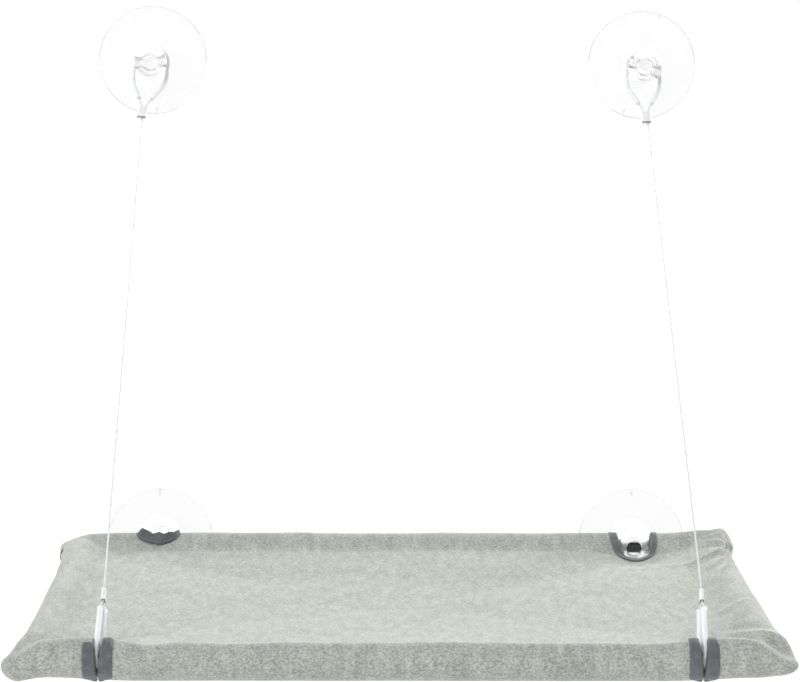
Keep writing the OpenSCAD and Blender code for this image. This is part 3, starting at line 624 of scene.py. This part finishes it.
def tape_material(name, length, dark="#3f4346", light="#696e71"):
    """Twill tape: ribs of 0.9 mm across it, a soft edge, and grey thread in stitches 2.6 mm long."""
    made, tree, shader = material(name)
    along = add(tree, "ShaderNodeSeparateXYZ", [("Vector", add(tree, "ShaderNodeUVMap").outputs[0])])
    place = add(tree, "ShaderNodeTexCoord").outputs["Object"]
    rib_turns = length / rib_pitch * 2 * math.pi
    across = add(tree, "ShaderNodeMath", [(0, along.outputs[1]), (1, rib_turns)], operation="MULTIPLY")
    ribs = add(tree, "ShaderNodeMath", [(0, across.outputs[0])], operation="SINE")
    mottle = add(tree, "ShaderNodeTexNoise", [("Vector", place), ("Scale", 1 / (5 * MM)), ("Detail", 3)])
    colour = add(tree, "ShaderNodeMix", [("Factor", mottle.outputs["Fac"]), (6, linear(dark)),
                                        (7, linear(light))], data_type="RGBA")
    row = add(tree, "ShaderNodeMath", [(0, along.outputs[0]), (1, stitch_in / tape_girth),
                                       (2, thread_share)], operation="COMPARE")
    stitch_turns = length / stitch_pitch * 2 * math.pi
    sewn = add(tree, "ShaderNodeMath", [(0, along.outputs[1]), (1, stitch_turns)], operation="MULTIPLY")
    beat = add(tree, "ShaderNodeMath", [(0, sewn.outputs[0])], operation="SINE")
    on = add(tree, "ShaderNodeMath", [(0, beat.outputs[0]), (1, -0.3)], operation="GREATER_THAN")
    thread = add(tree, "ShaderNodeMath", [(0, row.outputs[0]), (1, on.outputs[0])], operation="MULTIPLY")
    stitched = add(tree, "ShaderNodeMix", [("Factor", thread.outputs[0]), (6, colour.outputs[2]),
                                           (7, linear("#676c70"))], data_type="RGBA")
    relief = add(tree, "ShaderNodeMath", [(0, ribs.outputs[0]), (1, 0.35), (2, thread.outputs[0])],
                 operation="MULTIPLY_ADD")
    bump = add(tree, "ShaderNodeBump", [("Strength", 0.5), ("Distance", 0.18 * MM),
                                        ("Height", relief.outputs[0])])
    join(shader, [("Base Color", stitched.outputs[2]), ("Normal", bump.outputs["Normal"]),
                  ("Roughness", 0.6), ("Sheen Weight", 0.2)])
    return made


def thick(piece, amount):
    """Gives a tape its thickness, half to each side, and rounds it."""
    wall = piece.modifiers.new("thickness", "SOLIDIFY")
    wall.thickness, wall.offset = amount * MM, 0
    finer = piece.modifiers.new("softened", "SUBSURF")
    finer.levels = finer.render_levels = 1


# The tape ends just short of the back edge, and the cloth's height is read a little before it
tape_end, read_end = back_edge - 1.5, -16.0


def cutout_path(side, share):
    """A point of the cut-out's edge and its outward direction, from its left end to its right."""
    points = [(x, min(y, tape_end)) for x, y in cutout_outline(side)]
    if side < 0:
        points = points[::-1]
    spans = [math.dist(a, b) for a, b in zip(points, points[1:])]
    gone, goal = 0.0, share * sum(spans)
    for a, b, span in zip(points, points[1:], spans):
        if gone + span >= goal or b == points[-1]:
            t = (goal - gone) / span
            run = Vector((b[0] - a[0], b[1] - a[1])).normalized()
            return Vector(a).lerp(Vector(b), t), Vector((run.y, -run.x)) * side
        gone += span


# The crumpled crest of the left tape where it is pushed up by the cup's head: x and height
crumple = ([-197, -194, -190, -186, -181, -177, -173, -169, -166, -161.5, -159, -155],
           [9.5, 12.5, 17.5, 15.8, 13.0, 14.4, 12.9, 14.6, 14.4, 16.4, 15.0, 12.5])


# Where the upper side of a tape ends and the one below begins, as shares of the way across it
fold_from, fold_to, lip_fold = 0.4, 0.6, 0.7


def cutout_tape(side):
    """The tape of a rear cut-out. Across it: the sewn edge on top, the fold, and the edge below."""
    def place(row, column):
        spot, out = cutout_path(side, row)
        back = Vector((spot.x + out.x, min(spot.y + out.y, read_end)))
        base, low = top_at(*back), top_at(*back, lowest=True)
        rise = 0.1 + 0.8 * smooth((-spot.y - 22) / 14)
        crest, wide = base + rise, tape_w * (1 - 0.4 * max(0.0, out.x))
        flare = Vector((0, 0))
        if side < 0:
            pushed = smooth((-spot.y - 25) / 4)
            flare = out * pushed * (2.2 + 0.9 * noise.noise(Vector((spot.x / 3.1, column * 3, 4.4))))
            stood = np.interp(spot.x + flare.x, *crumple) - 0.22 * (spot.y + flare.y + 40)
            crest += pushed * (stood - crest) - 1.2 * (1 - pushed)
            wide *= 0.5 if out.x < 0 else 0.85
        if column < fold_from:
            share = 1 - column / fold_from
            p = spot + out * (share * wide - 0.3) + flare * (1 - share)
            z = top_at(p.x, min(p.y, read_end)) + 0.85 * rise
            z += (crest - base - 0.85 * rise) * (1 - share ** 1.6)
            z += 0.35 * noise.noise(Vector((p.x / 3.2, p.y / 3.2, 1.2))) * (1 - share)
        elif column < fold_to:
            share = (column - fold_from) / (fold_to - fold_from)
            p = spot - out * (0.9 * share + 0.3) + flare
            z = crest - 2.5 * share ** 2
        else:
            share = (column - fold_to) / (1 - fold_to)
            p = spot - out * 1.2 + flare * (1 - smooth(share * 2))
            z = crest - 2.5 + (low - crest + 2.0) * share
        return p.x, p.y, z
    return formed(96, 26, place)


def slit_tape(side, hand):
    """One lip of a front slit, hand -1 to its left or 1 to its right. It follows the front roll from
    first to last, in degrees, folds over the slit's edge, and its ends are drawn together below."""
    puckered = 1.0 if hand != side else 0.0
    first, last = 26 if hand == side < 0 else -7, 164

    def place(row, column):
        torn = 9 * puckered * noise.noise(Vector((column * 5, side * 6.0, 0.3))) * (1 - row)
        angle = first + torn + (last - first) * row
        down = smooth((angle - 5) / 85)
        edge = (3.2 - 1.4 * down - 1.0 * smooth((row - 0.55) / 0.4)
                + 0.3 * noise.noise(Vector((row * 11, hand * 4.0, side * 2.0))))
        ripple = 0.45 * noise.noise(Vector((row * 9, hand * 2.0, side * 3.0)))
        tip = smooth((row - 0.93) / 0.07)
        lift = 1.0 + 0.25 * noise.noise(Vector((row * 14, column * 2, side * 5.0)))
        lift += puckered * (1 - row) * 0.9 * noise.noise(Vector((column * 6, row * 2.5, side * 8.0)))
        if column < lip_fold:
            share = 1 - column / lip_fold
            across = edge + share * (slit_half + 5.6 - edge) * (1 - 0.5 * tip) + ripple * share
            r = roll_r + lift + 0.5 * math.sin(share * math.pi) * (0.6 + 0.4 * tip) + 1.2 * tip * (1 - share)
            r -= 0.5 * smooth((share - 0.85) / 0.15)
        else:
            share = (column - lip_fold) / (1 - lip_fold)
            across = edge - 0.5 * math.sin(share * math.pi / 2)
            r = roll_r + lift - 4.6 * share * (1 - 0.5 * tip)
        a = math.radians(angle)
        return (side * slit_x + hand * across, front_tube_y - r * math.sin(a), r * math.cos(a))
    return formed(76, 20, place)


twill_u = tape_material("slate twill tape, sewn round a cut-out", length=90.0)
twill_lip = tape_material("slate twill tape, sewn along a slit", length=38.0)
# The tape in the rear corner folds is coloured near black: painted shade of the fold over the tape's slate
# grey
twill_in_fold_shade = tape_material("slate twill tape, tucked into a corner", 20.0, dark="#101214", light="#1d2022")
for side, name in ((-1, "left"), (1, "right")):
    thick(piece_of(f"{name}_cutout_tape", cutout_tape(side), twill_u, "bed", "binding_tape",
                   f"{name}_cutout_binding"), tape_t)
    for hand, lip in ((-1, "left"), (1, "right")):
        thick(piece_of(f"{name}_slit_{lip}_lip", slit_tape(side, hand), twill_lip, "bed", "binding_tape",
                       f"{name}_slit_binding"), tape_t)


def corner_tab(corners, side):
    """Tape seen in the fold at a rear corner: its four corners, y and z, laid on the case's side."""
    def place(row, column):
        (ay, az), (by, bz), (cy, cz), (dy, dz) = corners
        y = (ay + (by - ay) * column) * (1 - row) + (cy + (dy - cy) * column) * row
        z = (az + (bz - az) * column) * (1 - row) + (cz + (dz - cz) * column) * row
        hit = cover_tree.ray_cast(Vector((side * 0.3, y * MM, z * MM)), Vector((-side, 0, 0)), 0.07)[0]
        return (hit.x / MM if hit else side * 240.0) + side * tucked_lift, y, z
    return formed(12, 12, place)


for side, name, corners in ((1, "right", [(-76, 8.5), (-42, 9.0), (-66, 5.0), (-38, 1.5)]),
                            (-1, "left", [(-56, 4), (-49, 4), (-62, -5), (-54, -5)])):
    thick(piece_of(f"{name}_rear_corner_shaded_tape", corner_tab(corners, side), twill_in_fold_shade, "bed",
                   "binding_tape"), tucked_t)


# --- Cables ---------------------------------------------------------------------------------
# Two stainless wire ropes of 1.2 mm in a clear coat, each with a loop at both ends. The upper
# loop hangs in the cup's neck groove, and the lower one goes down the slit and round the tube.
wire_r, upper_sleeve_r, lower_sleeve_r, sleeve_play = 0.6, 1.6, 1.9, 0.15
upper_loop_r, upper_loop_len, lower_loop_r, lower_loop_len = 12.4, 40.0, 6.0, 42.8
ferrule_len, ferrule_w, ferrule_t, leg_x = 8.6, 7.0, 3.2, 0.85
groove_mid, drop, bend_drop, bend_r, upper_bow = 14.7, -1.7, 5.5, 10.0, 3.2
# Half the space between the lower loop's legs in the slit, and the length over which they part
leg_side, leg_part = 1.33, 5
run_steps, wire_end = 60, 1.2
# How far the upper and the lower loop lean, in degrees
leans = {-1: (-6.8, 1.1), 1: (0.8, 2.6)}


class Cable:
    """The line of one cable, from the middle of its upper loop down to the front tube."""

    def __init__(self, side):
        cup_x, cup_z, _ = cup_places["upper_left" if side < 0 else "upper_right"]
        self.side, self.x, self.top = side, cup_x, cup_z + drop
        self.cy, self.cz = -groove_mid - bend_r, self.top - bend_drop
        dy, dz = front_tube_y - self.cy, -self.cz
        self.slope = -math.acos(bend_r / math.hypot(dy, dz)) - math.atan2(dz, dy)
        self.bend = bend_r * self.slope
        self.ey = self.cy + bend_r * math.cos(self.slope)
        self.ez = self.cz - bend_r * math.sin(self.slope)
        self.lean, low = (math.radians(a) for a in leans[side])
        self.face = Vector((0, -math.cos(self.slope), math.sin(self.slope)))
        self.upper_run = self.down(self.lean)
        self.lower_run = self.down(-low)

    def down(self, a):
        """The way down the cable, turned in its own plane."""
        return Vector((math.sin(a), -math.cos(a) * math.sin(self.slope),
                       -math.cos(a) * math.cos(self.slope)))

    def at(self, d):
        """The point that lies d below the groove: down the neck, round the bend, down the slope."""
        x = self.x
        if d < bend_drop:
            return Vector((x, -groove_mid, self.top - d))
        if d < bend_drop + self.bend:
            a = (d - bend_drop) / bend_r
            return Vector((x, self.cy + bend_r * math.cos(a), self.cz - bend_r * math.sin(a)))
        k = d - bend_drop - self.bend
        return Vector((x, self.ey - k * math.sin(self.slope), self.ez - k * math.cos(self.slope)))

    def turn(self, d):
        """How far the loop has turned towards the slope there."""
        return min(self.slope, max(0.0, (d - bend_drop) / bend_r))

    def leaned(self, p):
        """A point of the flat loop after it has swung sideways in its groove."""
        below = p[1] - drop
        return (p[0] * math.cos(self.lean) + below * math.sin(self.lean),
                drop + below * math.cos(self.lean) - p[0] * math.sin(self.lean))

    def upper(self, p):
        """Where a point of the flat upper loop lies."""
        q = self.leaned(p)
        return self.at(q[1]) + Vector((q[0], 0, 0))

    def upper_face(self, p):
        """What the flat upper loop faces there."""
        a = self.turn(self.leaned(p)[1])
        return Vector((0, -math.cos(a), math.sin(a)))

    def lower(self, p):
        """Where a point of the flat lower loop lies. Its two legs pass side by side in the slit."""
        if p[1] >= lower_loop_len:
            share = 0.0
        elif p[1] > lower_loop_len - leg_part:
            share = smooth((lower_loop_len - p[1]) / leg_part) * math.copysign(1, p[0])
        elif p[1] > 0:
            share = math.copysign(1, p[0])
        else:
            share = max(-1.0, min(1.0, p[0] / lower_loop_r))
        return (Vector((self.side * (slit_x + leg_side * share), front_tube_y, 0))
                - self.lower_run * p[1] + self.face * p[0])


def teardrop(r, length, bow):
    """Flat line of a loop, from one leg round its end to the other. The legs of a loop that hangs
    free bow out."""
    touch = math.asin(r / math.hypot(leg_x, length)) - math.atan2(leg_x, length)
    start, land = Vector((leg_x, length)), Vector((r * math.cos(touch), r * math.sin(touch)))
    leg = [start + (land - start) * k / 16 + Vector((bow * math.sin(math.pi * (k / 16) ** 1.6), 0))
           for k in range(17)]
    turn = [Vector((r * math.cos(a), r * math.sin(a)))
            for a in np.linspace(touch, -math.pi - touch, 42)[1:-1]]
    return leg + turn + [Vector((-p.x, p.y)) for p in reversed(leg)]


def tube(points, facings, r, sides=16, bore=0.0):
    """A round tube along points, its UV running along and around it. With a bore it is open."""
    runs = [(points[min(i + 1, len(points) - 1)] - points[max(i - 1, 0)]).normalized()
            for i in range(len(points))]
    last = len(points) - 1

    def ring(i, turn, radius):
        n = runs[i].cross(facings[i]).normalized()
        return points[i] + radius * (n * math.cos(turn) + runs[i].cross(n) * math.sin(turn))

    if bore:
        def place(row, column):
            k = min(round(row * (2 * last + 2)), 2 * last + 2)
            if k <= last:
                return ring(k, 2 * math.pi * column, r)
            if k <= 2 * last + 1:
                return ring(2 * last + 1 - k, 2 * math.pi * column, bore)
            return ring(0, 2 * math.pi * column, r)
        return formed(2 * last + 2, sides, place, wrap=True)
    bm = formed(last, sides, lambda row, column: ring(round(row * last), 2 * math.pi * column, r), wrap=True)
    bmesh.ops.holes_fill(bm, edges=[e for e in bm.edges if e.is_boundary], sides=sides)
    return bm


strands, lay_pitch = 6, 1.5


def wire_material(name, length):
    """Stainless wire rope: six bright strands laid at 1.5 mm a turn under a thin clear coat, with painted
    shade darkening the grooves between them.
    """
    made, tree, shader = material(name)
    along = add(tree, "ShaderNodeSeparateXYZ", [("Vector", add(tree, "ShaderNodeUVMap").outputs[0])])
    turns = add(tree, "ShaderNodeMath", [(0, along.outputs[1]), (1, length / lay_pitch)],
                operation="MULTIPLY")
    lay = add(tree, "ShaderNodeMath", [(0, along.outputs[0]), (1, strands), (2, turns.outputs[0])],
              operation="MULTIPLY_ADD")
    angle = add(tree, "ShaderNodeMath", [(0, lay.outputs[0]), (1, 2 * math.pi)], operation="MULTIPLY")
    wave = add(tree, "ShaderNodeMath", [(0, angle.outputs[0])], operation="SINE")
    # The colour follows the lay: the grooves between the strands are painted darker as shade
    mask = add(tree, "ShaderNodeMapRange", [("Value", wave.outputs[0]), ("From Min", -1.0)])
    colour = add(tree, "ShaderNodeMix", [("Factor", mask.outputs[0]), (6, linear("#d2d5d5")),
                                        (7, linear("#f0f2f2"))], data_type="RGBA")
    bump = add(tree, "ShaderNodeBump", [("Strength", 0.4), ("Distance", 0.08 * MM),
                                        ("Height", wave.outputs[0])])
    join(shader, [("Base Color", colour.outputs[2]), ("Normal", bump.outputs["Normal"]), ("Metallic", 0.05),
                  ("Roughness", 0.3), ("Coat Weight", 0.6), ("Coat Roughness", 0.1)])
    return made


loop_wire = wire_material("stainless wire rope, loop", length=110.0)
run_wire = wire_material("stainless wire rope, straight run", length=400.0)

# Clear vinyl tube, extruded: so milky that it looks pale, with a soft gloss
clear_tube, tree, shader = material("clear vinyl tube, extruded")
place = add(tree, "ShaderNodeTexCoord").outputs["Object"]
drawn = add(tree, "ShaderNodeTexNoise", [("Vector", place), ("Scale", 1 / (3 * MM)), ("Detail", 1)])
bump = add(tree, "ShaderNodeBump", [("Strength", 0.15), ("Distance", 0.1 * MM),
                                    ("Height", drawn.outputs["Fac"])])
join(shader, [("Base Color", linear("#f1f4f6")), ("Normal", bump.outputs["Normal"]), ("Roughness", 0.3),
              ("IOR", 1.4), ("Transmission Weight", 0.05)])

# Pressed aluminium: pale silver with fine die marks 0.5 mm apart, and its lower end painted darker as shade
pressed_aluminium, tree, shader = material("pressed aluminium")
place = add(tree, "ShaderNodeTexCoord").outputs["Object"]
marks = add(tree, "ShaderNodeTexNoise", [("Vector", place), ("Scale", 1 / (0.5 * MM)), ("Detail", 2)])
tone = add(tree, "ShaderNodeTexNoise", [("Vector", place), ("Scale", 1 / (4 * MM)), ("Detail", 2)])
colour = add(tree, "ShaderNodeMix", [("Factor", tone.outputs["Fac"]), (6, linear("#e4e5e2")),
                                    (7, linear("#f5f5f4"))], data_type="RGBA")
along = add(tree, "ShaderNodeSeparateXYZ", [("Vector", add(tree, "ShaderNodeUVMap").outputs[0])])
# The last tenth of the crimp's length is painted darker: a painted shade at its lower rim
end_shade = add(tree, "ShaderNodeMath", [(0, along.outputs[1]), (1, 0.9)], operation="GREATER_THAN")
colour = add(tree, "ShaderNodeMix", [("Factor", end_shade.outputs[0]), (6, colour.outputs[2]),
                                     (7, linear("#9a9d9a"))], data_type="RGBA")
bump = add(tree, "ShaderNodeBump", [("Strength", 0.3), ("Distance", 0.05 * MM),
                                    ("Height", marks.outputs["Fac"])])
join(shader, [("Base Color", colour.outputs[2]), ("Normal", bump.outputs["Normal"]), ("Metallic", 0.15),
              ("Roughness", 0.4)])


def ferrule(start, along, wide):
    """An oval crimp: a short tube pinched at its middle, with its rims turned and rounded."""
    n, b = wide.normalized(), along.cross(wide).normalized()
    flat, r = (ferrule_w - ferrule_t) / 2, ferrule_t / 2
    shape = [(0.0, 0.30), (0.0, 0.86), (0.025, 0.97), (0.07, 1.0), (0.2, 0.98), (0.35, 0.95), (0.5, 0.94),
             (0.65, 0.95), (0.8, 0.97), (0.93, 1.0), (0.975, 0.97), (1.0, 0.86), (1.0, 0.30)]

    def place(row, column):
        share, size = shape[round(row * (len(shape) - 1))]
        a = 2 * math.pi * column
        out = math.cos(a)
        return (start + along * ferrule_len * share
                + n * (size * r * out + flat * math.copysign(min(1.0, abs(out) * 3), out))
                + b * size * r * math.sin(a))
    bm = formed(len(shape) - 1, 40, place, wrap=True)
    bmesh.ops.holes_fill(bm, edges=[e for e in bm.edges if e.is_boundary], sides=60)
    return bm


for side, name in ((-1, "left"), (1, "right")):
    line = Cable(side)
    # The last value of each is how much of the legs the sleeve leaves bare beside the ferrule
    ends = {"upper": (upper_loop_r, upper_loop_len, upper_bow, line.upper, line.upper_face, upper_sleeve_r,
                      "window_side", 7),
            "lower": (lower_loop_r, lower_loop_len, 0, line.lower, lambda p: Vector((1, 0, 0)),
                      lower_sleeve_r, "bed", 5)}
    for end, (loop_r, length, bow, place_at, facing, sleeve_r, body, bare) in ends.items():
        flat = teardrop(loop_r, length, bow)
        whole = ([Vector((leg_x, length + ferrule_len))] + flat
                 + [Vector((-leg_x, length + ferrule_len + wire_end))])
        piece_of(f"{end}_{name}_loop_of_wire",
                 tube([place_at(p) for p in whole], [facing(p) for p in whole], wire_r),
                 loop_wire, body, "cable_wire", f"{end}_{name}_wire_loop")
        covered = [p for p in flat if p.y < length - bare]
        piece_of(f"{end}_{name}_loop_tubing",
                 tube([place_at(p) for p in covered], [facing(p) for p in covered], sleeve_r, 20,
                      wire_r + sleeve_play),
                 clear_tube, body, "sleeve_vinyl", f"{end}_{name}_loop_sleeve")
    wide = Vector((1, 0, 0)) - line.upper_run * line.upper_run.x
    piece_of(f"upper_{name}_crimp", ferrule(line.upper((0, upper_loop_len)), line.upper_run, wide),
             pressed_aluminium, "window_side", "ferrule_aluminium", f"upper_{name}_ferrule")
    piece_of(f"lower_{name}_crimp",
             ferrule(line.lower((0, lower_loop_len + ferrule_len)), line.lower_run, line.face),
             pressed_aluminium, "bed", "ferrule_aluminium", f"lower_{name}_ferrule")
    top = line.upper((leg_x, upper_loop_len + ferrule_len))
    foot = line.lower((leg_x, lower_loop_len + ferrule_len))
    steps = [top + (foot - top) * k / run_steps for k in range(run_steps + 1)]
    run = piece_of(f"{name}_cable_run", tube(steps, [Vector((1, 0, 0))] * len(steps), wire_r), run_wire,
                   None, "cable_wire", f"{name}_cable")
    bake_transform(run)


# --- Room -----------------------------------------------------------------------------------
# A plain pale floor, a white surround, and three soft lamps: a large one in front, and one behind
# each end of the bed, which rakes over the folds of the cloth.
floor_size, floor_place, floor_lift = 2.2, (0, -0.3, -0.75), 0.66


def plain(name, code):
    """A matt surface that the camera and clear plastic see as plain white."""
    made, tree, shader = material(name)
    path = add(tree, "ShaderNodeLightPath")
    seen = add(tree, "ShaderNodeMath", [(0, path.outputs["Is Camera Ray"]),
                                        (1, path.outputs["Is Transmission Ray"])], operation="MAXIMUM")
    lift = add(tree, "ShaderNodeMath", [(0, seen.outputs[0]), (1, floor_lift)], operation="MULTIPLY")
    join(shader, [("Base Color", linear(code)), ("Roughness", 0.9), ("Specular IOR Level", 0.0),
                  ("Emission Color", (1, 1, 1, 1)), ("Emission Strength", lift.outputs[0])])
    return made


bm = bmesh.new()
bmesh.ops.create_grid(bm, x_segments=1, y_segments=1, size=floor_size)
bmesh.ops.translate(bm, verts=bm.verts, vec=floor_place)
mesh = bpy.data.meshes.new("floor")
bm.to_mesh(mesh)
bm.free()
mesh.materials.append(plain("matt floor paint", "#f4f4f2"))
floor = bpy.data.objects.new("floor", mesh)
bpy.context.scene.collection.objects.link(floor)

bpy.context.scene.view_settings.view_transform = "Standard"
world = bpy.data.worlds.new("studio")
world.use_nodes = True
bpy.context.scene.world = world
tree = world.node_tree
# White to the camera. Clear plastic and gloss see white behind the pane and grey in the room, and
# the cloth is lit a little more from behind.
path = add(tree, "ShaderNodeLightPath")
way = add(tree, "ShaderNodeSeparateXYZ", [("Vector", add(tree, "ShaderNodeTexCoord").outputs["Generated"])])
lit = add(tree, "ShaderNodeMapRange", [("Value", way.outputs[1]), ("From Min", -0.5), ("From Max", 0.7),
                                       ("To Min", 0.62), ("To Max", 0.88)])
clear = add(tree, "ShaderNodeMapRange", [("Value", way.outputs[1]), ("From Min", 0.3), ("From Max", 0.86),
                                         ("To Min", 0.6), ("To Max", 1.09)])
bent = add(tree, "ShaderNodeMath", [(0, path.outputs["Is Transmission Ray"]),
                                    (1, path.outputs["Is Glossy Ray"])], operation="MAXIMUM")
near = add(tree, "ShaderNodeMix", [("Factor", bent.outputs[0]), (2, lit.outputs[0]), (3, clear.outputs[0])])
strength = add(tree, "ShaderNodeMix", [("Factor", path.outputs["Is Camera Ray"]), (2, near.outputs[0]),
                                       (3, 1.08)])
join(tree.nodes["Background"], [("Color", (1, 1, 1, 1)), ("Strength", strength.outputs[0])])


def lamp(name, place, aim, size, power):
    """A square soft lamp at a place, turned to its aim."""
    light = bpy.data.lights.new(name, "AREA")
    light.shape, light.size, light.energy = "SQUARE", size, power
    held = bpy.data.objects.new(name, light)
    held.location = place
    held.rotation_euler = (Vector(aim) - Vector(place)).to_track_quat("-Z", "Y").to_euler()
    bpy.context.scene.collection.objects.link(held)


lamp("window right", (1.3, 1.4, 0.62), (0.1, -0.2, 0.0), 0.9, 26)
lamp("window left", (-1.3, 1.4, 0.75), (0, -0.2, 0.0), 1.0, 12)
lamp("front", (-1.8, -3.8, 2.6), (0, -0.2, 0.1), 3.0, 112)

bpy.context.view_layer.update()
